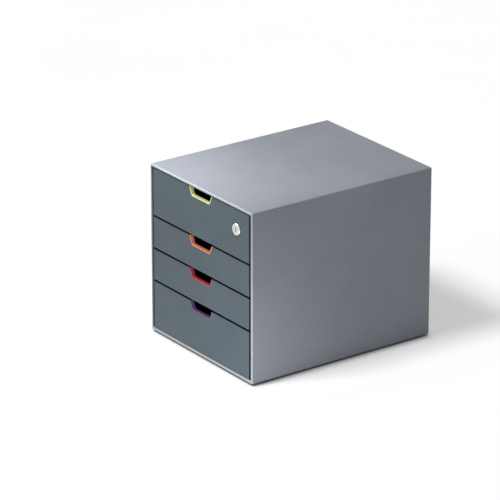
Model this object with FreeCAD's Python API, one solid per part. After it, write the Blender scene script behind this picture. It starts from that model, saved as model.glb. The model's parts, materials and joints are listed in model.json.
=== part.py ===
import FreeCAD, Part
import math
import os

# Desktop drawer unit: a closed casing with four drawers, the top one with a cam lock.
# Millimetres, +Z up, the drawers open towards -Y, origin on the floor under the middle.

# Overall
width = 280.0
depth = 356.0
height = 292.0
foot_height = 3.0

# Drawer fronts, with heights from the top down in equal steps
front_units = (3, 2, 2, 3)
front_gap = 3.4
front_side_gap = 5.0
front_thickness = 2.5
front_recess = 0.3
front_chamfer = 0.4
bottom_gap = 1.2
top_gap = 1.7

# Casing
side_wall = 3.0
top_wall = 3.6
floor_wall = 3.0
casing_edge_radius = 2.0
casing_front_chamfer = 1.4
casing_rear_chamfer = 0.6
base_rib_height = 2.5
base_rib_wall = 2.0
base_pockets_across = 4
base_pockets_along = 5
rail_height = 3.0
rail_wall = 1.6
rail_play = 0.15
catch_length = 8.0
catch_height = 1.5
catch_setback = 30.0

# Back panel
back_recess = 2.6
back_thickness = 2.5
back_play = 0.15
back_field_margin = 16.0
back_field_depth = 0.8
back_field_radius = 8.0
back_rib_wall = 1.6
back_rib_height = 2.0
back_rib_count = 6
back_rib_margin = 24.0
back_hook_length = 6.0
back_hook_drop = 24.0

# Side frames with the runners
frame_plate = 2.0
frame_setback = 5.0
runner_setback = 1.0
ledge_thickness = 2.0
ledge_taper = 1.0
guide_thickness = 1.6
guide_reach = 7.0
run_gap = 0.4
guide_gap = 0.6
body_gap = 0.8
gusset_wall = 1.6
gusset_height = 12.0
gusset_inset = 2.0
gusset_count = 5
gusset_end_room = 14.0
lug_reach = 2.4
lug_length = 4.0
lug_setback = 4.0

# Trays
tray_wall = 1.8
tray_front_wall = 2.0
tray_lift = 1.5
tray_drop = 5.0
tray_draft = 1.2
tray_corner_radius = 8.0
tray_floor_chamfer = 2.5
tray_rear_room = 2.5
rim_thickness = 1.8
rim_width = 7.8
rim_lip_height = 3.5
rim_play = 3.0
rear_rim = 4.0
floor_rib_width = 2.0
floor_rib_height = 0.8
floor_rib_count = 5
floor_rib_margin = 18.0
travel = 250.0
stop_gap = 0.5
nib_length = 8.0
nib_lead = 4.0
nib_play = 0.6

# Coloured liners with the finger grip
liner_thickness = 1.6
liner_inset = 1.0
grip_top_width = 64.0
grip_bottom_width = 50.0
grip_depth = 15.5
grip_wall = 1.8
grip_corner_radius = 6.0
grip_top_radius = 3.0
grip_play = 0.15
grip_tray_room = 6.5
lip_depth = 7.0
lip_setback = 0.3
lip_bead_radius = 1.6

# Snap hooks that hold each front to its tray, and the back panel to the side frames
hook_width = 8.0
hook_wall = 1.6
hook_barb = 1.2
hook_lead = 3.0
hook_tip = 0.8
hook_play = 0.2
hook_side_margin = 8.0
hook_grip_margin = 35.0

# Feet
foot_side = 20.0
foot_corner_radius = 3.0
foot_inset = 24.0

# Cam lock
lock_inset = 42.0
lock_drop = 33.5
bezel_radius = 10.0
bezel_proud = 1.3
bezel_taper = 0.7
barrel_radius = 8.0
barrel_flat = 7.0
barrel_length = 20.0
barrel_play = 0.15
plug_radius = 5.75
plug_play = 0.05
plug_flange = 0.8
plug_flange_height = 1.0
plug_recess = 0.2
keyway_width = 2.2
keyway_height = 7.6
keyway_depth = 18.0
wafer_count = 4
wafer_first = 4.2
wafer_pitch = 3.2
wafer_thickness = 1.0
wafer_play = 0.1
wafer_width = 5.0
wafer_height = 10.0
wafer_window_width = 2.6
wafer_window_height = 6.0
wafer_groove_depth = 1.1
stub_side = 6.0
stub_short = 0.2
cam_gap = 0.3
cam_thickness = 2.2
cam_length = 30.0
cam_hub_radius = 8.0
cam_half_width = 6.5
cam_tip_radius = 3.0
cam_screw_head_radius = 4.2
cam_screw_head_height = 2.4
cam_screw_radius = 1.6
cam_screw_length = 8.0
nut_across_flats = 20.0
nut_thickness = 4.0

# Keeper that the cam turns behind
keeper_sheet = 1.5
keeper_width = 24.0
keeper_foot = 15.0
keeper_clear = 3.0
keeper_cam_gap = 0.5
keeper_bend = 1.0
keeper_screw_inset = 6.0
keeper_screw_radius = 1.4
keeper_screw_head_radius = 2.8
keeper_screw_head_height = 1.4
keeper_screw_bite = 2.6

# Cutting tools reach this far past what they cut, and edges shorter than tiny are left out
over = 2.0
tiny = 1e-4

# Planes across the depth
y_bezel = -depth / 2
y_face = y_bezel + bezel_proud
y_front_back = y_face + front_thickness
y_liner_back = y_front_back + liner_thickness
y_plate_back = y_liner_back + tray_front_wall
y_casing_front = y_face - front_recess
y_frame_front = y_casing_front + frame_setback
y_runner_front = y_plate_back + runner_setback
y_back = depth / 2
y_panel_out = y_back - back_recess
y_panel_in = y_panel_out - back_thickness
y_tray_back = y_panel_in - back_rib_height - tray_rear_room
y_body_back = y_tray_back - rear_rim
y_lug = y_runner_front + lug_setback
y_nib = y_lug + lug_length + travel + stop_gap

# Planes across the width
x_wall = width / 2 - side_wall
x_frame = x_wall - frame_plate
x_front = x_wall - front_side_gap
x_liner = x_front - liner_inset
x_rim = x_frame - rim_play
x_body = x_rim - rim_width
x_ledge = x_body + body_gap

# Planes up the height
z_base = foot_height
z_floor_under = z_base + base_rib_height
z_floor = z_floor_under + floor_wall
z_stack = z_floor + bottom_gap
z_ceiling = height - top_wall
front_step = (z_ceiling - top_gap - z_stack + front_gap) / sum(front_units)

# Slope of the grip cut-out's sides
grip_slope = math.atan((grip_top_width - grip_bottom_width) / 2 / grip_depth)


def vec(x, y, z):
    return FreeCAD.Vector(x, y, z)


def box(x0, x1, y0, y1, z0, z1):
    return Part.makeBox(x1 - x0, y1 - y0, z1 - z0, vec(x0, y0, z0))


def rect(u0, u1, v0, v1, radius=0.0):
    """Corners of a rectangle, each as (u, v, radius)."""
    return [(u0, v0, radius), (u1, v0, radius), (u1, v1, radius), (u0, v1, radius)]


def outline(corners, place):
    """Closed wire through (u, v, radius) corners, each rounded by its radius."""
    arcs = []
    for index, (u, v, radius) in enumerate(corners):
        here = vec(u, v, 0)
        last = corners[index - 1]
        following = corners[(index + 1) % len(corners)]
        back = (vec(last[0], last[1], 0) - here).normalize()
        ahead = (vec(following[0], following[1], 0) - here).normalize()
        half_angle = back.getAngle(ahead) / 2
        inward = (back + ahead).normalize() if radius else back
        reach = radius / math.tan(half_angle)
        middle = here + inward * (radius / math.sin(half_angle) - radius)
        arcs.append((here + back * reach, middle, here + ahead * reach))
    edges = []
    for index, (start, middle, end) in enumerate(arcs):
        begin = arcs[index - 1][2]
        if begin.distanceToPoint(start) > tiny:
            edges.append(Part.LineSegment(place(begin), place(start)).toShape())
        if start.distanceToPoint(end) > tiny:
            edges.append(Part.Arc(place(start), place(middle), place(end)).toShape())
    return Part.Wire(edges)


def level(z):
    """Places an outline on the horizontal plane at z."""
    return lambda p: vec(p.x, p.y, z)


def prism_z(corners, z0, z1):
    return Part.Face(outline(corners, level(z0))).extrude(vec(0, 0, z1 - z0))


def prism_y(corners, y0, y1):
    """Solid with its outline in X and Z, from y0 to y1."""
    face = Part.Face(outline(corners, lambda p: vec(p.x, y0, p.y)))
    return face.extrude(vec(0, y1 - y0, 0))


def prism_x(corners, x0, x1):
    """Solid with its outline in Y and Z, from x0 to x1."""
    face = Part.Face(outline(corners, lambda p: vec(x0, p.x, p.y)))
    return face.extrude(vec(x1 - x0, 0, 0))


def turned_y(profile, x, z):
    """Solid turned about a line along Y through x, z from (radius, y) points."""
    points = [vec(x + radius, y, z) for radius, y in profile]
    face = Part.Face(Part.makePolygon(points + points[:1]))
    return face.revolve(vec(x, 0, z), vec(0, 1, 0), 360)


def edges_at(solid, y):
    """Every edge of the solid that lies on the plane at y."""
    return [e for e in solid.Edges if abs(e.BoundBox.YMin - y) + abs(e.BoundBox.YMax - y) < tiny]


def mirrored(solid):
    return solid.mirror(vec(0, 0, 0), vec(1, 0, 0))


def spread(first, last, count):
    """Places evenly spread from first to last."""
    return [first + (last - first) * index / (count - 1) for index in range(count)]


class Drawer:
    """Levels of one drawer, numbered from the top."""

    def __init__(self, number):
        self.name = "drawer_%d" % number
        self.units = front_units[number - 1]
        self.bottom = z_stack + sum(front_units[number:]) * front_step
        self.top = self.bottom + self.units * front_step - front_gap
        self.tray_bottom = self.bottom + tray_lift
        self.tray_top = self.top - tray_drop
        self.ledge_top = self.tray_top - rim_lip_height - run_gap
        self.guide_bottom = self.tray_top + guide_gap
        self.locked = number == 1

    def hooks(self):
        """Places of the snap hooks, as (x, z) of their lower middle, in rows an equal step apart."""
        outer = x_body - hook_side_margin
        inner = grip_top_width / 2 + hook_grip_margin
        step = (self.top - self.bottom) / self.units
        rows = [self.bottom + step * row for row in range(1, self.units)]
        return [(x, z) for x in (-outer, -inner, inner, outer) for z in rows]


drawers = [Drawer(number) for number in range(1, len(front_units) + 1)]
lock_x = width / 2 - lock_inset
lock_z = drawers[0].top - lock_drop
y_barrel_back = y_face + barrel_length
y_cam = y_barrel_back + cam_gap
y_cam_back = y_cam + cam_thickness


def base_pockets():
    """Pockets in the underside, which leave a grid of ribs."""
    y_first = y_casing_front + side_wall
    pocket_x = (2 * x_wall - (base_pockets_across - 1) * base_rib_wall) / base_pockets_across
    pocket_y = (y_panel_in - y_first - (base_pockets_along - 1) * base_rib_wall) / base_pockets_along
    pockets = []
    for column in range(base_pockets_across):
        x0 = -x_wall + column * (pocket_x + base_rib_wall)
        for row in range(base_pockets_along):
            y0 = y_first + row * (pocket_y + base_rib_wall)
            pockets.append(box(x0, x0 + pocket_x, y0, y0 + pocket_y, z_base - over, z_floor_under))
    return pockets


def keeper_screw_y():
    return y_cam - keeper_cam_gap - keeper_sheet + keeper_foot - keeper_screw_inset


def casing():
    outer = box(-width / 2, width / 2, y_casing_front, y_back, z_base, height)
    long_edges = [e for e in outer.Edges if e.BoundBox.YLength > depth / 2]
    outer = outer.makeFillet(casing_edge_radius, long_edges)
    outer = outer.makeChamfer(casing_front_chamfer, edges_at(outer, y_casing_front))
    outer = outer.makeChamfer(casing_rear_chamfer, edges_at(outer, y_back))
    cuts = [box(-x_wall, x_wall, y_casing_front - over, y_back + over, z_floor, z_ceiling)]
    cuts += base_pockets()
    bore = vec(lock_x, keeper_screw_y(), z_ceiling - over)
    cuts.append(Part.makeCylinder(keeper_screw_radius, keeper_screw_bite + over, bore))
    x_rail = x_frame - rail_play
    guides = [box(x_rail - rail_wall, x_rail, y_runner_front, y_panel_in, z0, z0 + rail_height)
              for z0 in (z_floor, z_ceiling - rail_height)]
    guides += catches(0)
    return outer.cut(cuts).fuse(guides + [mirrored(guide) for guide in guides]).removeSplitter()


def catches(play):
    """Catches on the casing's floor and ceiling that the right side frame snaps over."""
    y0 = y_casing_front + catch_setback
    y1 = y0 + catch_length
    return [box(x_frame, x_wall, y0 - play, y1 + play, z_floor - play, z_floor + catch_height + play),
            box(x_frame, x_wall, y0 - play, y1 + play, z_ceiling - catch_height - play, z_ceiling + play)]


def back_hook_levels():
    """Levels of the back panel's hooks, beside the top and the bottom drawer."""
    return [drawer.ledge_top - back_hook_drop for drawer in (drawers[0], drawers[-1])]


def back_hook(z):
    """Hook on the right of the back panel, which snaps into a window of the side frame."""
    x1 = x_frame - hook_play
    x0 = x1 - hook_wall
    y_catch = y_panel_in - back_hook_length
    y_tip = y_catch - hook_lead
    corners = [(x0, y_panel_in, 0), (x0, y_tip, 0), (x0 + hook_tip, y_tip, 0),
               (x1 + hook_barb, y_catch, 0), (x1, y_catch, 0), (x1, y_panel_in, 0)]
    return prism_z(corners, z - hook_width / 2, z + hook_width / 2)


def back_hook_window(z):
    y_catch = y_panel_in - back_hook_length
    half = hook_width / 2 + hook_play
    return box(x_frame - over, x_wall + over, y_catch - hook_lead - hook_play, y_catch + hook_play,
               z - half, z + half)


def back_panel():
    x = x_wall - back_play
    z0 = z_floor + back_play
    z1 = z_ceiling - back_play
    plate = box(-x, x, y_panel_in, y_panel_out, z0, z1)
    margin = back_field_margin
    field = rect(-x + margin, x - margin, z0 + margin, z1 - margin, back_field_radius)
    plate = plate.cut(prism_y(field, y_panel_out - back_field_depth, y_panel_out + over))
    reach = x_body - back_rib_margin
    half = back_rib_wall / 2
    ribs = [box(rx - half, rx + half, y_panel_in - back_rib_height, y_panel_in,
                z0 + back_rib_margin, z1 - back_rib_margin)
            for rx in spread(-reach, reach, back_rib_count)]
    hooks = [back_hook(z) for z in back_hook_levels()]
    return plate.fuse(ribs + hooks + [mirrored(hook) for hook in hooks]).removeSplitter()


def runner(drawer):
    """Ledge, guide, gussets and stops that carry one side of a drawer."""
    ledge_bottom = drawer.ledge_top - ledge_thickness
    ledge = [(x_frame, ledge_bottom - ledge_taper, 0), (x_ledge, ledge_bottom, 0),
             (x_ledge, drawer.ledge_top, 0), (x_frame, drawer.ledge_top, 0)]
    x_guide = x_frame - guide_reach
    guide_top = drawer.guide_bottom + guide_thickness
    guide = [(x_guide, drawer.guide_bottom, 0), (x_frame, drawer.guide_bottom, 0),
             (x_frame, guide_top + ledge_taper, 0), (x_guide, guide_top, 0)]
    pieces = [prism_y(ledge, y_runner_front, y_panel_in), prism_y(guide, y_runner_front, y_panel_in)]
    gusset = [(x_ledge + gusset_inset, ledge_bottom, 0), (x_frame, ledge_bottom, 0),
              (x_frame, ledge_bottom - gusset_height, 0)]
    for y in spread(y_runner_front, y_panel_in - gusset_end_room - gusset_wall, gusset_count):
        pieces.append(prism_y(gusset, y, y + gusset_wall))
    groove = (drawer.ledge_top, drawer.guide_bottom)
    pieces.append(box(x_frame - lug_reach, x_frame, y_lug, y_lug + lug_length, *groove))
    pieces.append(box(x_rim - rim_thickness, x_frame, y_tray_back + stop_gap, y_panel_in, *groove))
    return pieces


def side_frame():
    """The right side frame. The left one is its mirror image."""
    pieces = []
    for drawer in drawers:
        pieces += runner(drawer)
    plate = box(x_frame, x_wall, y_frame_front, y_panel_in, z_floor, z_ceiling)
    windows = [back_hook_window(z) for z in back_hook_levels()]
    return plate.fuse(pieces).cut(windows + catches(rail_play)).removeSplitter()


def foot_places():
    """Names and centres of the four feet."""
    x = width / 2 - foot_inset
    y_front = y_casing_front + foot_inset
    y_rear = y_back - foot_inset
    return [("foot_front_left", -x, y_front), ("foot_front_right", x, y_front),
            ("foot_rear_left", -x, y_rear), ("foot_rear_right", x, y_rear)]


def foot(x, y):
    """Pad, stuck under the floor between the ribs."""
    half = foot_side / 2
    corners = rect(x - half, x + half, y - half, y + half, foot_corner_radius)
    return prism_z(corners, 0, z_floor_under)


def tray_section(inset, z, y_front, radius):
    """Outline of the tray's tub at one level."""
    x = x_body - inset
    y1 = y_body_back - inset
    return outline([(-x, y_front, 0), (x, y_front, 0), (x, y1, radius), (-x, y1, radius)], level(z))


def tray_tub(drawer):
    """Outside of the drafted tub."""
    sections = [tray_section(tray_draft, drawer.tray_bottom, y_liner_back, tray_corner_radius),
                tray_section(0, drawer.tray_top, y_liner_back, tray_corner_radius)]
    return Part.makeLoft(sections, True, True)


def tray_hollow(drawer):
    """Inside of the drafted tub, chamfered round its floor."""
    floor = drawer.tray_bottom + tray_wall
    bend = floor + tray_floor_chamfer
    inset = tray_wall + tray_draft * (drawer.tray_top - bend) / (drawer.tray_top - drawer.tray_bottom)
    radius = tray_corner_radius - tray_wall
    sections = [tray_section(inset + tray_floor_chamfer, floor, y_plate_back + tray_floor_chamfer, radius),
                tray_section(inset, bend, y_plate_back, radius),
                tray_section(tray_wall, drawer.tray_top, y_plate_back, radius)]
    return Part.makeLoft(sections, True, True)


def tray_rim(drawer):
    """Rim round three sides, with a turned-down lip and a stop nib on each runner side."""
    corner = tray_corner_radius
    corners = [(-x_rim, y_liner_back, 0), (x_rim, y_liner_back, 0),
               (x_rim, y_tray_back, corner), (-x_rim, y_tray_back, corner)]
    rim = prism_z(corners, drawer.tray_top - rim_thickness, drawer.tray_top)
    z_lip = drawer.tray_top - rim_lip_height
    lip = box(x_rim - rim_thickness, x_rim, y_liner_back, y_tray_back - corner, z_lip, drawer.tray_top)
    x_nib = x_frame - nib_play
    nib = [(x_rim - rim_thickness, y_nib, 0), (x_nib, y_nib, 0), (x_nib, y_nib + nib_length - nib_lead, 0),
           (x_rim, y_nib + nib_length, 0), (x_rim - rim_thickness, y_nib + nib_length, 0)]
    nib = prism_z(nib, z_lip, drawer.tray_top)
    return [rim, lip, mirrored(lip), nib, mirrored(nib)]


def grip_corners(drawer, grow, radius, top_radius=0.0):
    """Corners of the grip cut-out from right to left, grown sideways and down."""
    z_bottom = drawer.top - grip_depth - grow
    low = grip_bottom_width / 2 + grow / math.cos(grip_slope) - grow * math.tan(grip_slope)
    high = low + (drawer.top - z_bottom) * math.tan(grip_slope)
    return [(high, drawer.top, top_radius), (low, z_bottom, radius), (-low, z_bottom, radius),
            (-high, drawer.top, top_radius)]


def hook_windows(drawer):
    """Windows for the snap hooks through the liner and the tray's front wall."""
    half = hook_width / 2 + hook_play
    top = hook_wall + hook_barb + hook_play
    return [box(x - half, x + half, y_front_back - over, y_plate_back + over, z - hook_play, z + top)
            for x, z in drawer.hooks()]


def barrel_hole(y0, y1):
    """Round hole with two flats, for the lock's barrel."""
    hole = Part.makeCylinder(barrel_radius + barrel_play, y1 - y0, vec(lock_x, y0, lock_z), vec(0, 1, 0))
    half = barrel_flat + barrel_play
    return hole.common(box(lock_x - half, lock_x + half, y0, y1, 0, height))


def tray(drawer):
    plate = box(-x_rim, x_rim, y_liner_back, y_plate_back, drawer.tray_bottom, drawer.tray_top)
    body = tray_tub(drawer).fuse(tray_rim(drawer) + [plate])
    notch = grip_corners(drawer, grip_tray_room, grip_corner_radius + grip_tray_room)
    cuts = [tray_hollow(drawer), prism_y(notch, y_liner_back - over, y_plate_back + over)]
    cuts += hook_windows(drawer)
    if drawer.locked:
        cuts.append(barrel_hole(y_liner_back - over, y_plate_back + over))
    body = body.cut(cuts)
    floor = drawer.tray_bottom + tray_wall
    reach = x_body - tray_wall - tray_draft - floor_rib_margin
    half = floor_rib_width / 2
    ribs = [box(x - half, x + half, y_plate_back + floor_rib_margin, y_body_back - floor_rib_margin,
                floor, floor + floor_rib_height)
            for x in spread(-reach, reach, floor_rib_count)]
    return body.fuse(ribs).removeSplitter()


def liner(drawer):
    """Coloured layer behind the front, with the grip's lip moulded on."""
    z_low = drawer.bottom + liner_inset
    inner_radius = grip_corner_radius - grip_wall
    inner = grip_corners(drawer, -grip_wall, inner_radius)
    sheet = prism_y([(-x_liner, z_low, 0), (x_liner, z_low, 0), (x_liner, drawer.top, 0)] + inner
                    + [(-x_liner, drawer.top, 0)], y_front_back, y_liner_back)
    outer = grip_corners(drawer, 0, grip_corner_radius)
    lip = prism_y(outer + inner[::-1], y_face + lip_setback, y_face + lip_depth)
    bead_half = grip_bottom_width / 2 - grip_corner_radius
    z_lip = drawer.top - grip_depth
    bead = Part.makeCylinder(lip_bead_radius, 2 * bead_half,
                             vec(-bead_half, y_face + lip_depth - lip_bead_radius, z_lip), vec(1, 0, 0))
    bead = bead.common(box(-bead_half, bead_half, y_liner_back, y_plate_back + lip_depth,
                           z_lip - lip_bead_radius, z_lip + grip_wall))
    cuts = hook_windows(drawer)
    if drawer.locked:
        cuts.append(barrel_hole(y_front_back - over, y_liner_back + over))
    return sheet.fuse([lip, bead]).cut(cuts).removeSplitter()


def hook(x, z):
    """Snap hook behind the front, with a sloped lead and a barb."""
    y_catch = y_plate_back + hook_play
    y_tip = y_catch + hook_lead
    z_top = z + hook_wall
    corners = [(y_front_back, z, 0), (y_tip, z, 0), (y_tip, z + hook_tip, 0),
               (y_catch, z_top + hook_barb, 0), (y_catch, z_top, 0), (y_front_back, z_top, 0)]
    return prism_x(corners, x - hook_width / 2, x + hook_width / 2)


def front(drawer):
    """Outer front with its grip cut-out and the snap hooks on its back."""
    notch = grip_corners(drawer, grip_play, grip_corner_radius + grip_play, grip_top_radius)
    corners = [(-x_front, drawer.bottom, 0), (x_front, drawer.bottom, 0), (x_front, drawer.top, 0)]
    plate = prism_y(corners + notch + [(-x_front, drawer.top, 0)], y_face, y_front_back)
    plate = plate.makeChamfer(front_chamfer, edges_at(plate, y_face))
    if drawer.locked:
        plate = plate.cut(barrel_hole(y_face - over, y_front_back + over))
    return plate.fuse([hook(x, z) for x, z in drawer.hooks()]).removeSplitter()


def lock_housing():
    """Barrel with its bezel, bored in a step for the plug and grooved for the wafers."""
    bore = plug_radius + plug_play
    y_step = y_bezel + plug_recess + plug_flange_height
    profile = [(bore + plug_flange, y_bezel), (bezel_radius - bezel_taper, y_bezel), (bezel_radius, y_face),
               (barrel_radius, y_face), (barrel_radius, y_barrel_back), (bore, y_barrel_back),
               (bore, y_step), (bore + plug_flange, y_step)]
    body = turned_y(profile, lock_x, lock_z)
    reach = barrel_radius + over
    flat = box(lock_x + barrel_flat, lock_x + reach, y_face, y_barrel_back + over, lock_z - reach, lock_z + reach)
    opposite = flat.mirror(vec(lock_x, 0, 0), vec(1, 0, 0))
    half = wafer_width / 2
    deep = plug_radius + wafer_groove_depth
    groove = box(lock_x - half, lock_x + half, y_step + plug_flange_height, y_barrel_back + over,
                 lock_z - deep, lock_z + deep)
    return body.cut([flat, opposite, groove])


def lock_nut():
    """Hexagonal nut behind the tray's front wall."""
    corner = nut_across_flats / 2 / math.cos(math.pi / 6)
    turns = [math.radians(60 * index) for index in range(6)]
    hexagon = [(lock_x + corner * math.cos(turn), lock_z + corner * math.sin(turn), 0) for turn in turns]
    bore = Part.makeCylinder(barrel_radius, nut_thickness + 2 * over,
                             vec(lock_x, y_plate_back - over, lock_z), vec(0, 1, 0))
    return prism_y(hexagon, y_plate_back, y_plate_back + nut_thickness).cut(bore)


def wafer_places():
    """Front planes of the wafers along the plug."""
    return [y_bezel + wafer_first + wafer_pitch * index for index in range(wafer_count)]


def lock_plug():
    """Turning core with its flange, keyway, wafer slots and square end."""
    y_plug = y_bezel + plug_recess
    y_flange = y_plug + plug_flange_height - plug_play
    body = turned_y([(0, y_plug), (plug_radius + plug_flange, y_plug), (plug_radius + plug_flange, y_flange),
                     (plug_radius, y_flange), (plug_radius, y_cam), (0, y_cam)], lock_x, lock_z)
    half = stub_side / 2
    stub = box(lock_x - half, lock_x + half, y_cam, y_cam_back - stub_short, lock_z - half, lock_z + half)
    cuts = [box(lock_x - keyway_width / 2, lock_x + keyway_width / 2, y_plug - over, y_plug + keyway_depth,
                lock_z - keyway_height / 2, lock_z + keyway_height / 2)]
    for y in wafer_places():
        cuts.append(box(lock_x - wafer_width / 2, lock_x + wafer_width / 2, y, y + wafer_thickness + wafer_play,
                        lock_z - plug_radius - over, lock_z + plug_radius + over))
    tap = vec(lock_x, y_cam_back - cam_screw_length, lock_z)
    cuts.append(Part.makeCylinder(cam_screw_radius, cam_screw_length + over, tap, vec(0, 1, 0)))
    return body.fuse(stub).cut(cuts)


def lock_wafers():
    """Spring wafers, drawn in flush with the plug as when the key is in."""
    half = wafer_width / 2
    high = wafer_height / 2
    window_half = wafer_window_width / 2
    window_high = wafer_window_height / 2
    wafers = []
    for y in wafer_places():
        y1 = y + wafer_thickness
        plate = box(lock_x - half, lock_x + half, y, y1, lock_z - high, lock_z + high)
        wafers.append(plate.cut(box(lock_x - window_half, lock_x + window_half, y - over, y1 + over,
                                    lock_z - window_high, lock_z + window_high)))
    return Part.makeCompound(wafers)


def lock_cam():
    """Lever on the plug's square end, level while the lock is open."""
    half = cam_half_width
    corners = [(lock_x - cam_length, lock_z - half, cam_tip_radius), (lock_x, lock_z - half, 0),
               (lock_x, lock_z + half, 0), (lock_x - cam_length, lock_z + half, cam_tip_radius)]
    lever = prism_y(corners, y_cam, y_cam_back)
    hub = Part.makeCylinder(cam_hub_radius, cam_thickness, vec(lock_x, y_cam, lock_z), vec(0, 1, 0))
    side = stub_side / 2
    hole = box(lock_x - side, lock_x + side, y_cam - over, y_cam_back + over, lock_z - side, lock_z + side)
    return lever.fuse(hub).cut(hole).removeSplitter()


def cam_screw():
    y_end = y_cam_back - cam_screw_length
    y_top = y_cam_back + cam_screw_head_height
    return turned_y([(0, y_end), (cam_screw_radius, y_end), (cam_screw_radius, y_cam_back),
                     (cam_screw_head_radius, y_cam_back), (cam_screw_head_radius, y_top), (0, y_top)],
                    lock_x, lock_z)


def lock_keeper():
    """Bent bracket under the casing's top, which the cam turns up behind."""
    y1 = y_cam - keeper_cam_gap
    y0 = y1 - keeper_sheet
    z0 = lock_z + cam_hub_radius + keeper_clear
    z1 = z_ceiling - keeper_sheet
    corners = [(y0, z0, 0), (y1, z0, 0), (y1, z1, keeper_bend), (y0 + keeper_foot, z1, 0),
               (y0 + keeper_foot, z_ceiling, 0), (y0, z_ceiling, keeper_bend + keeper_sheet)]
    bracket = prism_x(corners, lock_x - keeper_width / 2, lock_x + keeper_width / 2)
    start = vec(lock_x, keeper_screw_y(), z1 - over)
    return bracket.cut(Part.makeCylinder(keeper_screw_radius, keeper_sheet + 2 * over, start))


def keeper_screw():
    """Screw up through the keeper into the casing's top."""
    z_seat = z_ceiling - keeper_sheet
    place = vec(lock_x, keeper_screw_y(), z_seat - keeper_screw_head_height)
    head = Part.makeCylinder(keeper_screw_head_radius, keeper_screw_head_height, place)
    length = keeper_screw_head_height + keeper_sheet + keeper_screw_bite
    return head.fuse(Part.makeCylinder(keeper_screw_radius, length, place)).removeSplitter()


def save(name, shape):
    shape.exportStep("parts/%s.step" % name)


def main():
    os.makedirs("parts", exist_ok=True)
    save("casing", casing())
    save("back_panel", back_panel())
    frame = side_frame()
    save("side_frame_right", frame)
    save("side_frame_left", mirrored(frame))
    for name, x, y in foot_places():
        save(name, foot(x, y))
    for drawer in drawers:
        save(drawer.name + "_tray", tray(drawer))
        save(drawer.name + "_liner", liner(drawer))
        save(drawer.name + "_front", front(drawer))
    save("lock_housing", lock_housing())
    save("lock_nut", lock_nut())
    save("lock_plug", lock_plug())
    save("lock_wafers", lock_wafers())
    save("lock_cam", lock_cam())
    save("cam_screw", cam_screw())
    save("lock_keeper", lock_keeper())
    save("keeper_screw", keeper_screw())


main()
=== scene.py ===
import json
import math

import bmesh
import bpy
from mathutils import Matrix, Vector

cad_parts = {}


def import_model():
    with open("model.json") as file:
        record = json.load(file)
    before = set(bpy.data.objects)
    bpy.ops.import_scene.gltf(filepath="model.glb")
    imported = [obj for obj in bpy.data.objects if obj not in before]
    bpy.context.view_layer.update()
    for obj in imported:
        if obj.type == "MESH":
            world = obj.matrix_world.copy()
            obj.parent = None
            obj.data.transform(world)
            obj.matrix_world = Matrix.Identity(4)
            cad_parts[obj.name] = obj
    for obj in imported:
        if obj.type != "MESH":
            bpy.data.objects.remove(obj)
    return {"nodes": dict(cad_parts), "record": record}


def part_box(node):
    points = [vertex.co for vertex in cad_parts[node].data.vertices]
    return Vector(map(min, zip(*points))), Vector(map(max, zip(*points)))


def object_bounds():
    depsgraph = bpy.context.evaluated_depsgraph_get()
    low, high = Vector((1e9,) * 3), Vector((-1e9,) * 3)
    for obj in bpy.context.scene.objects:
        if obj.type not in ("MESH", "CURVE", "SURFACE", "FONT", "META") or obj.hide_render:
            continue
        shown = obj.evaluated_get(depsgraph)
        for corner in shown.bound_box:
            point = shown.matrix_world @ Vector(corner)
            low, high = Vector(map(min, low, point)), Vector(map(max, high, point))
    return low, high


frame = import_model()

cad_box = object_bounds()

# View: the photograph's angle to the unit in degrees, distances in metres, and the lens and its
# frame in millimetres. ASIDE is how far the unit's middle stands right of the picture's middle.
CAMERA_AZIMUTH = 54.3
CAMERA_ELEVATION = 21.7
CAMERA_DISTANCE = 6.0
CAMERA_ASIDE = 0.065
CAMERA_FAR = 100.0
CAMERA_LENS = 267.0
CAMERA_FRAME = 36.0

# Colours, linear
WHITE = (1.0, 1.0, 1.0)
CASING = (0.294, 0.314, 0.356)
# Painted highlight colour for the casing's front rim
RIM_HIGHLIGHT = (0.56, 0.585, 0.61)
FRONT = (0.088, 0.123, 0.149)
DARK = (0.021, 0.022, 0.024)
TRAY = (0.035, 0.037, 0.041)
YELLOW = (0.94, 0.92, 0.40)
ORANGE = (0.92, 0.33, 0.17)
RED = (0.58, 0.055, 0.075)
VIOLET = (0.165, 0.095, 0.30)
RUBBER = (0.045, 0.045, 0.047)
NICKEL = (0.70, 0.69, 0.67)
ZINC = (0.56, 0.57, 0.58)
STEEL = (0.50, 0.50, 0.51)
BRASS = (0.66, 0.47, 0.19)

# The casing's front rim, painted paler as a highlight: where it ends along Y, over what length it
# fades, and its share
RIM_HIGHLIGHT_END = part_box("casing")[0][1] + 0.0018
RIM_HIGHLIGHT_FADE = 0.0004
RIM_HIGHLIGHT_SHARE = 0.8

# The part of a noise's range that its values mostly fill, and a narrower one for clouding
NOISE_SPAN = (0.3, 0.7)
CLOUD_SPAN = (0.36, 0.64)

# Cosine between a corner's rounded and flat normals: where it is full, and where the flat begins
CORNER_COSINE = 0.86
FLAT_COSINE = 0.995

# Rays per point for rounded corners and for hollows
BEVEL_SAMPLES = 6
HOLLOW_SAMPLES = 8

# Specks in moulded plastic for each grain of its texture, along a line
SPECKS_PER_GRAIN = 0.6

# Sockets of a Mix node that mixes colours
MIX_A, MIX_B, MIX_RESULT = 6, 7, 2

# Floor: half its side in metres, its tints as seen, and its tint for the light it throws back
FLOOR_REACH = 30.0
FLOOR_SEEN = (0.94, 0.96)
FLOOR_BOUNCE = 0.85

# The glow that whitens the floor where nothing stands over it, faded into a painted contact shadow
# near the unit: how far in metres it looks for what does, over what span of openness it grows, and how
# strong it becomes
GLOW_REACH = 0.018
GLOW_SPAN = (0.45, 0.95)
GLOW_STRENGTH = 0.42

# How strongly the white world lights things, and how strongly it is seen
WORLD_LIGHT = 0.18
WORLD_SEEN = 1.0


def tint(colour, factor):
    """The colour made darker or paler, with its alpha."""
    return tuple(min(1.0, c * factor) for c in colour) + (1.0,)


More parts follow.
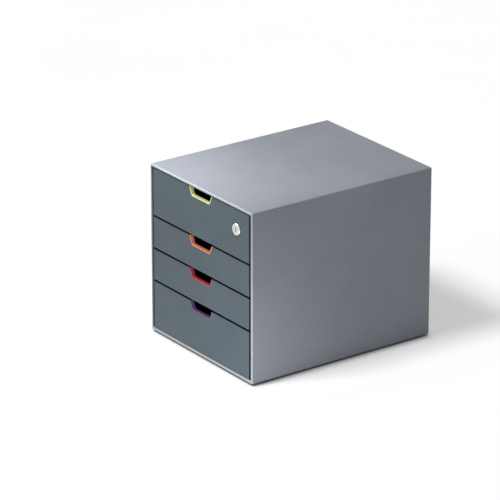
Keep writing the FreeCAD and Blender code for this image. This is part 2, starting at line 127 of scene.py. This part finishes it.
def in_sight(tree):
    """One for what the camera, a reflection or clear matter shows, zero for what lights things."""
    path = tree.nodes.new("ShaderNodeLightPath")
    seen = path.outputs["Is Camera Ray"]
    for ray in ("Is Glossy Ray", "Is Transmission Ray"):
        either = tree.nodes.new("ShaderNodeMath")
        either.operation = "MAXIMUM"
        tree.links.new(seen, either.inputs[0])
        tree.links.new(path.outputs[ray], either.inputs[1])
        seen = either.outputs[0]
    return seen


class Look:
    """One procedural material. Its methods add nodes and return the socket to read next."""

    def __init__(self, name):
        self.mat = bpy.data.materials.new(name)
        self.mat.use_nodes = True
        self.tree = self.mat.node_tree
        self.shader = self.tree.nodes["Principled BSDF"]
        self.place = self.node("ShaderNodeTexCoord").outputs["Object"]

    def node(self, kind, **settings):
        made = self.tree.nodes.new(kind)
        for name, value in settings.items():
            setattr(made, name, value)
        return made

    def put(self, socket, value):
        if isinstance(value, bpy.types.NodeSocket):
            self.tree.links.new(value, socket)
        else:
            socket.default_value = value

    def set(self, **values):
        """Sets or links the shader's own sockets."""
        for name, value in values.items():
            self.put(self.shader.inputs[name.replace("_", " ")], value)

    def stretched(self, stretch):
        """The place, scaled along each axis."""
        made = self.node("ShaderNodeMapping")
        made.inputs["Scale"].default_value = stretch
        self.put(made.inputs["Vector"], self.place)
        return made.outputs["Vector"]

    def noise(self, scale, detail=3.0, stretch=None):
        made = self.node("ShaderNodeTexNoise")
        self.put(made.inputs["Vector"], self.stretched(stretch) if stretch else self.place)
        made.inputs["Scale"].default_value = scale
        made.inputs["Detail"].default_value = detail
        return made.outputs["Fac"]

    def flakes(self, scale):
        """A random value for each small cell."""
        made = self.node("ShaderNodeTexVoronoi")
        self.put(made.inputs["Vector"], self.place)
        made.inputs["Scale"].default_value = scale
        split = self.node("ShaderNodeSeparateColor")
        self.put(split.inputs["Color"], made.outputs["Color"])
        return split.outputs["Red"]

    def rings(self, scale, middle):
        """Noise that changes only with the distance from the line along Y through the middle."""
        across = self.node("ShaderNodeVectorMath", operation="SUBTRACT")
        self.put(across.inputs[0], self.place)
        across.inputs[1].default_value = middle
        flat = self.node("ShaderNodeVectorMath", operation="MULTIPLY")
        self.put(flat.inputs[0], across.outputs["Vector"])
        flat.inputs[1].default_value = (1.0, 0.0, 1.0)
        radius = self.node("ShaderNodeVectorMath", operation="LENGTH")
        self.put(radius.inputs[0], flat.outputs["Vector"])
        made = self.node("ShaderNodeTexNoise", noise_dimensions="1D")
        self.put(made.inputs["W"], radius.outputs["Value"])
        made.inputs["Scale"].default_value = scale
        return made.outputs["Fac"]

    def along(self, axis):
        """The place's X, Y or Z."""
        split = self.node("ShaderNodeSeparateXYZ")
        self.put(split.inputs["Vector"], self.place)
        return split.outputs[axis]

    def ramp(self, value, low, high, span=NOISE_SPAN):
        """Goes from low to high as the value crosses the span."""
        made = self.node("ShaderNodeMapRange")
        made.clamp = True
        self.put(made.inputs["Value"], value)
        made.inputs["From Min"].default_value = span[0]
        made.inputs["From Max"].default_value = span[1]
        made.inputs["To Min"].default_value = low
        made.inputs["To Max"].default_value = high
        return made.outputs["Result"]

    def math(self, operation, a, b):
        made = self.node("ShaderNodeMath", operation=operation)
        self.put(made.inputs[0], a)
        self.put(made.inputs[1], b)
        return made.outputs[0]

    def mix(self, share, a, b):
        made = self.node("ShaderNodeMix", data_type="RGBA")
        self.put(made.inputs["Factor"], share)
        self.put(made.inputs[MIX_A], a)
        self.put(made.inputs[MIX_B], b)
        return made.outputs[MIX_RESULT]

    def vary(self, value, colour, first, last, span=NOISE_SPAN):
        """The colour, from its first tint to its last as the value crosses the span."""
        return self.mix(self.ramp(value, 0.0, 1.0, span), tint(colour, first), tint(colour, last))

    def rounded(self, radius):
        """The normal, with corners rounded to the radius."""
        made = self.node("ShaderNodeBevel")
        made.samples = BEVEL_SAMPLES
        made.inputs["Radius"].default_value = radius
        return made.outputs["Normal"]

    def edges(self, radius):
        """One on the corners of the form and zero on its flats."""
        near = self.rounded(radius)
        flat = self.node("ShaderNodeNewGeometry").outputs["Normal"]
        dot = self.node("ShaderNodeVectorMath", operation="DOT_PRODUCT")
        self.put(dot.inputs[0], near)
        self.put(dot.inputs[1], flat)
        return self.ramp(dot.outputs["Value"], 1.0, 0.0, (CORNER_COSINE, FLAT_COSINE))

    def openness(self, reach):
        """One on open faces, and less the more of the reach around is shut in."""
        made = self.node("ShaderNodeAmbientOcclusion", samples=HOLLOW_SAMPLES)
        made.inputs["Distance"].default_value = reach
        return made.outputs["AO"]

    def worn_and_highlit(self, base, colour, radius, share):
        """The base, with its corners turned towards the colour: wear, and on the casing also a painted
        edge highlight.
        """
        return self.mix(self.math("MULTIPLY", self.edges(radius), share), base, colour)

    def with_painted_gap_shade(self, base, colour, reach, span, share):
        """Painted shade: the base, with the depth of its gaps turned towards the colour."""
        hollow = self.ramp(self.openness(reach), 1.0, 0.0, span)
        return self.mix(self.math("MULTIPLY", hollow, share), base, colour)

    def relief(self, height, depth, strength, corner):
        """The normal of a fine relief, on corners rounded to the given radius."""
        made = self.node("ShaderNodeBump")
        made.inputs["Strength"].default_value = strength
        made.inputs["Distance"].default_value = depth
        self.put(made.inputs["Height"], height)
        self.put(made.inputs["Normal"], self.rounded(corner))
        return made.outputs["Normal"]


def painted():
    """The casing: satin silver-grey plastic with a fine metallic flake, a painted highlight on its
    front rim, and paler corners that are a painted edge highlight broken up like wear.
    """
    look = Look("casing")
    flake = look.flakes(scale=1500.0)
    base = look.vary(look.noise(scale=9.0, detail=4.0), CASING, 0.95, 1.05, CLOUD_SPAN)
    base = look.mix(look.ramp(flake, 0.0, 0.55, span=(0.55, 1.0)), base, tint(CASING, 1.32))
    base = look.mix(look.ramp(flake, 0.4, 0.0, span=(0.0, 0.35)), base, tint(CASING, 0.78))
    # Paler corners on the casing: a painted edge highlight, broken up in patches like wear
    patches = look.ramp(look.noise(scale=60.0), 0.6, 1.0)
    base = look.worn_and_highlit(base, tint(CASING, 1.8), radius=0.0022, share=patches)
    # Painted highlight: the front rim of the casing is turned paler
    rim = look.ramp(look.along("Y"), RIM_HIGHLIGHT_SHARE, 0.0, span=(RIM_HIGHLIGHT_END - RIM_HIGHLIGHT_FADE, RIM_HIGHLIGHT_END))
    base = look.mix(rim, base, tint(RIM_HIGHLIGHT, 1.0))
    smear = look.noise(scale=26.0, detail=5.0, stretch=(1.0, 1.0, 0.35))
    glint = look.ramp(flake, -0.05, 0.05, span=(0.0, 1.0))
    rough = look.math("ADD", look.ramp(smear, 0.40, 0.50), glint)
    grain = look.noise(scale=2600.0, detail=2.0)
    look.set(Base_Color=base, Roughness=rough, Metallic=0.08, Specular_IOR_Level=0.2,
             Normal=look.relief(grain, depth=0.00006, strength=0.55, corner=0.0020))
    return look.mat


def moulded(name, colour, rough, grain_scale, depth, cloud=0.06, wear=0.35, gap_shade=0.0):
    """Moulded plastic with a spark-eroded grain, a faint cloud and paler corners."""
    look = Look(name)
    base = look.vary(look.noise(scale=14.0, detail=4.0), colour, 1 - cloud, 1 + cloud, CLOUD_SPAN)
    speck = look.flakes(scale=grain_scale * SPECKS_PER_GRAIN)
    base = look.mix(look.ramp(speck, 0.0, 0.5, span=(0.4, 1.0)), base, tint(colour, 1.14))
    patches = look.ramp(look.noise(scale=90.0), 0.0, wear)
    base = look.worn_and_highlit(base, tint(colour, 1.9), radius=0.0007, share=patches)
    # Painted shade deep in the gaps between parts
    if gap_shade:
        base = look.with_painted_gap_shade(base, tint(colour, 0.06), reach=0.010, span=(0.68, 0.96), share=gap_shade)
    smear = look.noise(scale=22.0, detail=5.0)
    grain = look.noise(scale=grain_scale, detail=2.0)
    look.set(Base_Color=base, Roughness=look.ramp(smear, rough - 0.05, rough + 0.06),
             Specular_IOR_Level=0.35,
             Normal=look.relief(grain, depth, strength=0.5, corner=0.0004))
    return look.mat


def glossy(name, colour, gap_shade=0.95):
    """Polished coloured plastic with faint flow marks and fine scratches."""
    look = Look(name)
    flow = look.noise(scale=30.0, detail=4.0, stretch=(1.0, 1.0, 2.6))
    base = look.vary(flow, colour, 0.93, 1.07)
    pale = tuple(min(1.0, c * 1.25 + 0.05) for c in colour) + (1.0,)
    base = look.worn_and_highlit(base, pale, radius=0.0006, share=0.35)
    # Painted shade deep in the gaps between parts
    base = look.with_painted_gap_shade(base, tint(colour, 0.08), reach=0.006, span=(0.36, 0.66), share=gap_shade)
    scratch = look.noise(scale=520.0, detail=2.0, stretch=(0.06, 1.0, 1.0))
    look.set(Base_Color=base, Roughness=look.ramp(scratch, 0.20, 0.32, span=(0.4, 0.7)),
             Coat_Weight=0.25, Coat_Roughness=0.12,
             Normal=look.relief(scratch, depth=0.00002, strength=0.4, corner=0.0004))
    return look.mat


def plated(name, colour, rough, stretch, dull):
    """Plated metal with fine lines along one axis, dull specks and bright corners."""
    look = Look(name)
    blot = look.noise(scale=240.0, detail=4.0)
    base = look.vary(blot, colour, 1.06, dull, span=(0.35, 0.7))
    base = look.worn_and_highlit(base, tint(colour, 1.25), radius=0.0004, share=0.5)
    lines = look.noise(scale=900.0, detail=3.0, stretch=stretch)
    wear = look.math("ADD", look.ramp(lines, -0.05, 0.06), look.ramp(blot, rough - 0.03, rough + 0.07))
    look.set(Base_Color=base, Metallic=1.0, Roughness=wear,
             Normal=look.relief(lines, depth=0.00002, strength=0.35, corner=0.0003))
    return look.mat


def turned(name, colour, rough, middle):
    """Satin metal with fine turning lines round the middle, and painted shade where pieces meet."""
    look = Look(name)
    dull = look.noise(scale=700.0, detail=3.0)
    base = look.vary(dull, colour, 1.04, 0.94)
    # Painted shade where pieces meet
    base = look.with_painted_gap_shade(base, tint(colour, 0.25), reach=0.0016, span=(0.45, 0.95), share=0.75)
    base = look.worn_and_highlit(base, tint(colour, 1.25), radius=0.0004, share=0.5)
    rings = look.rings(scale=3200.0, middle=middle)
    wear = look.math("ADD", look.ramp(rings, -0.05, 0.07), look.ramp(dull, rough - 0.02, rough + 0.04))
    look.set(Base_Color=base, Metallic=1.0, Roughness=wear,
             Normal=look.relief(rings, depth=0.00002, strength=0.3, corner=0.0003))
    return look.mat


def rubber():
    """The feet: matt rubber with dust on it."""
    look = Look("foot_rubber")
    dust = look.noise(scale=340.0, detail=4.0)
    base = look.vary(dust, RUBBER, 0.9, 1.8, span=(0.45, 0.75))
    look.set(Base_Color=base, Roughness=look.ramp(dust, 0.72, 0.88),
             Normal=look.relief(look.noise(scale=1800.0), depth=0.00006, strength=0.6, corner=0.0005))
    return look.mat


lock_axis = (Vector(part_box("lock_plug")[0]) + Vector(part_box("lock_plug")[1])) / 2

looks = {
    "casing": painted(),
    "dark_plastic": moulded("dark_plastic", DARK, rough=0.52, grain_scale=1500.0, depth=0.00006,
                            gap_shade=0.8),
    "tray_plastic": moulded("tray_plastic", TRAY, rough=0.42, grain_scale=1700.0, depth=0.00004),
    "front_plastic": moulded("front_plastic", FRONT, rough=0.46, grain_scale=2200.0, depth=0.00005,
                             cloud=0.05, wear=0.22, gap_shade=0.95),
    "liner_yellow": glossy("liner_yellow", YELLOW),
    "liner_orange": glossy("liner_orange", ORANGE, gap_shade=0.72),
    "liner_red": glossy("liner_red", RED, gap_shade=0.85),
    "liner_violet": glossy("liner_violet", VIOLET),
    "foot_rubber": rubber(),
    "nickel": turned("nickel", NICKEL, rough=0.24, middle=lock_axis),
    "zinc": plated("zinc", ZINC, rough=0.33, stretch=(1.0, 0.1, 1.0), dull=0.78),
    "steel": plated("steel", STEEL, rough=0.30, stretch=(0.08, 1.0, 1.0), dull=0.80),
    "brass": plated("brass", BRASS, rough=0.28, stretch=(1.0, 1.0, 0.1), dull=0.75),
}

for part in frame["record"]["subparts"]:
    node = frame["nodes"][part["node"]]
    node.data.materials.clear()
    node.data.materials.append(looks[part["material_slot"]])


# Floor, light and camera

def floor():
    """A white floor that keeps the unit's cast shadow, with a painted contact shadow where the unit
    meets it.
    """
    mesh = bpy.data.meshes.new("floor")
    form = bmesh.new()
    for x, y in ((-1, -1), (1, -1), (1, 1), (-1, 1)):
        form.verts.new((x * FLOOR_REACH, y * FLOOR_REACH, 0.0))
    form.faces.new(form.verts)
    form.to_mesh(mesh)
    form.free()
    made = bpy.data.objects.new("floor", mesh)
    bpy.context.collection.objects.link(made)
    look = Look("floor")
    seen = in_sight(look.tree)
    pale = look.vary(look.noise(scale=3.0), WHITE, *FLOOR_SEEN)
    # The glow fades near the unit: a painted contact shadow
    glow_with_painted_contact_shadow = look.ramp(look.openness(GLOW_REACH), 0.0, GLOW_STRENGTH, GLOW_SPAN)
    look.set(Base_Color=look.mix(seen, tint(WHITE, FLOOR_BOUNCE), pale), Roughness=0.9,
             Specular_IOR_Level=0.1, Emission_Color=tint(WHITE, 1.0),
             Emission_Strength=look.math("MULTIPLY", seen, glow_with_painted_contact_shadow))
    mesh.materials.append(look.mat)
    return made


def world():
    """White all round where it is seen, and a low even light."""
    made = bpy.data.worlds.new("studio")
    bpy.context.scene.world = made
    made.use_nodes = True
    tree = made.node_tree
    level = tree.nodes.new("ShaderNodeMapRange")
    level.inputs["To Min"].default_value = WORLD_LIGHT
    level.inputs["To Max"].default_value = WORLD_SEEN
    tree.links.new(in_sight(tree), level.inputs["Value"])
    back = tree.nodes["Background"]
    back.inputs["Color"].default_value = tint(WHITE, 1.0)
    tree.links.new(level.outputs["Result"], back.inputs["Strength"])


def put_in_scene(name, data, place, back):
    """A lamp or camera at the place, with its back turned towards the given direction."""
    made = bpy.data.objects.new(name, data)
    made.location = place
    made.rotation_mode = "QUATERNION"
    made.rotation_quaternion = Vector(back).to_track_quat("Z", "Y")
    bpy.context.collection.objects.link(made)
    return made


def sun(name, direction, strength, spread):
    """A sun that stands in the given direction and spreads over some degrees of the sky."""
    lamp = bpy.data.lights.new(name, "SUN")
    lamp.energy = strength
    lamp.angle = math.radians(spread)
    put_in_scene(name, lamp, (0.0, 0.0, 0.0), direction)


def softbox(name, place, aim, width, length, energy, spared=None):
    """A rectangular lamp, which may leave one object unlit."""
    lamp = bpy.data.lights.new(name, "AREA")
    lamp.shape = "RECTANGLE"
    lamp.size = width
    lamp.size_y = length
    lamp.energy = energy
    made = put_in_scene(name, lamp, place, Vector(place) - Vector(aim))
    made.visible_camera = False
    if spared:
        lit = bpy.data.collections.new(name + "_receivers")
        lit.objects.link(spared)
        made.light_linking.receiver_collection = lit
        lit.collection_objects[0].light_linking.link_state = "EXCLUDE"


def camera():
    """The photograph's view of the unit."""
    azimuth, elevation = math.radians(CAMERA_AZIMUTH), math.radians(CAMERA_ELEVATION)
    back = Vector((math.sin(azimuth) * math.cos(elevation),
                   -math.cos(azimuth) * math.cos(elevation), math.sin(elevation)))
    right = Vector((math.cos(azimuth), math.sin(azimuth), 0.0))
    middle = (cad_box[0] + cad_box[1]) / 2 - right * CAMERA_ASIDE
    lens = bpy.data.cameras.new("camera")
    lens.lens = CAMERA_LENS
    lens.sensor_width = CAMERA_FRAME
    lens.clip_end = CAMERA_FAR
    made = put_in_scene("camera", lens, middle + back * CAMERA_DISTANCE, back)
    bpy.context.scene.camera = made


# Places, aims and sizes in metres, energy in watts, the sun's spread in degrees
ground = floor()
world()
sun("key", direction=(-0.12, -0.52, 0.85), strength=1.55, spread=16.0)
softbox("strip", place=(-0.09, -0.20, 0.48), aim=(-0.09, -0.17, 0.29),
        width=0.30, length=0.06, energy=0.56)
softbox("low_fill", place=(0.32, -0.33, 0.045), aim=(0.14, -0.17, 0.05),
        width=0.20, length=0.06, energy=0.34, spared=ground)
camera()
bpy.context.scene.view_settings.view_transform = "Standard"
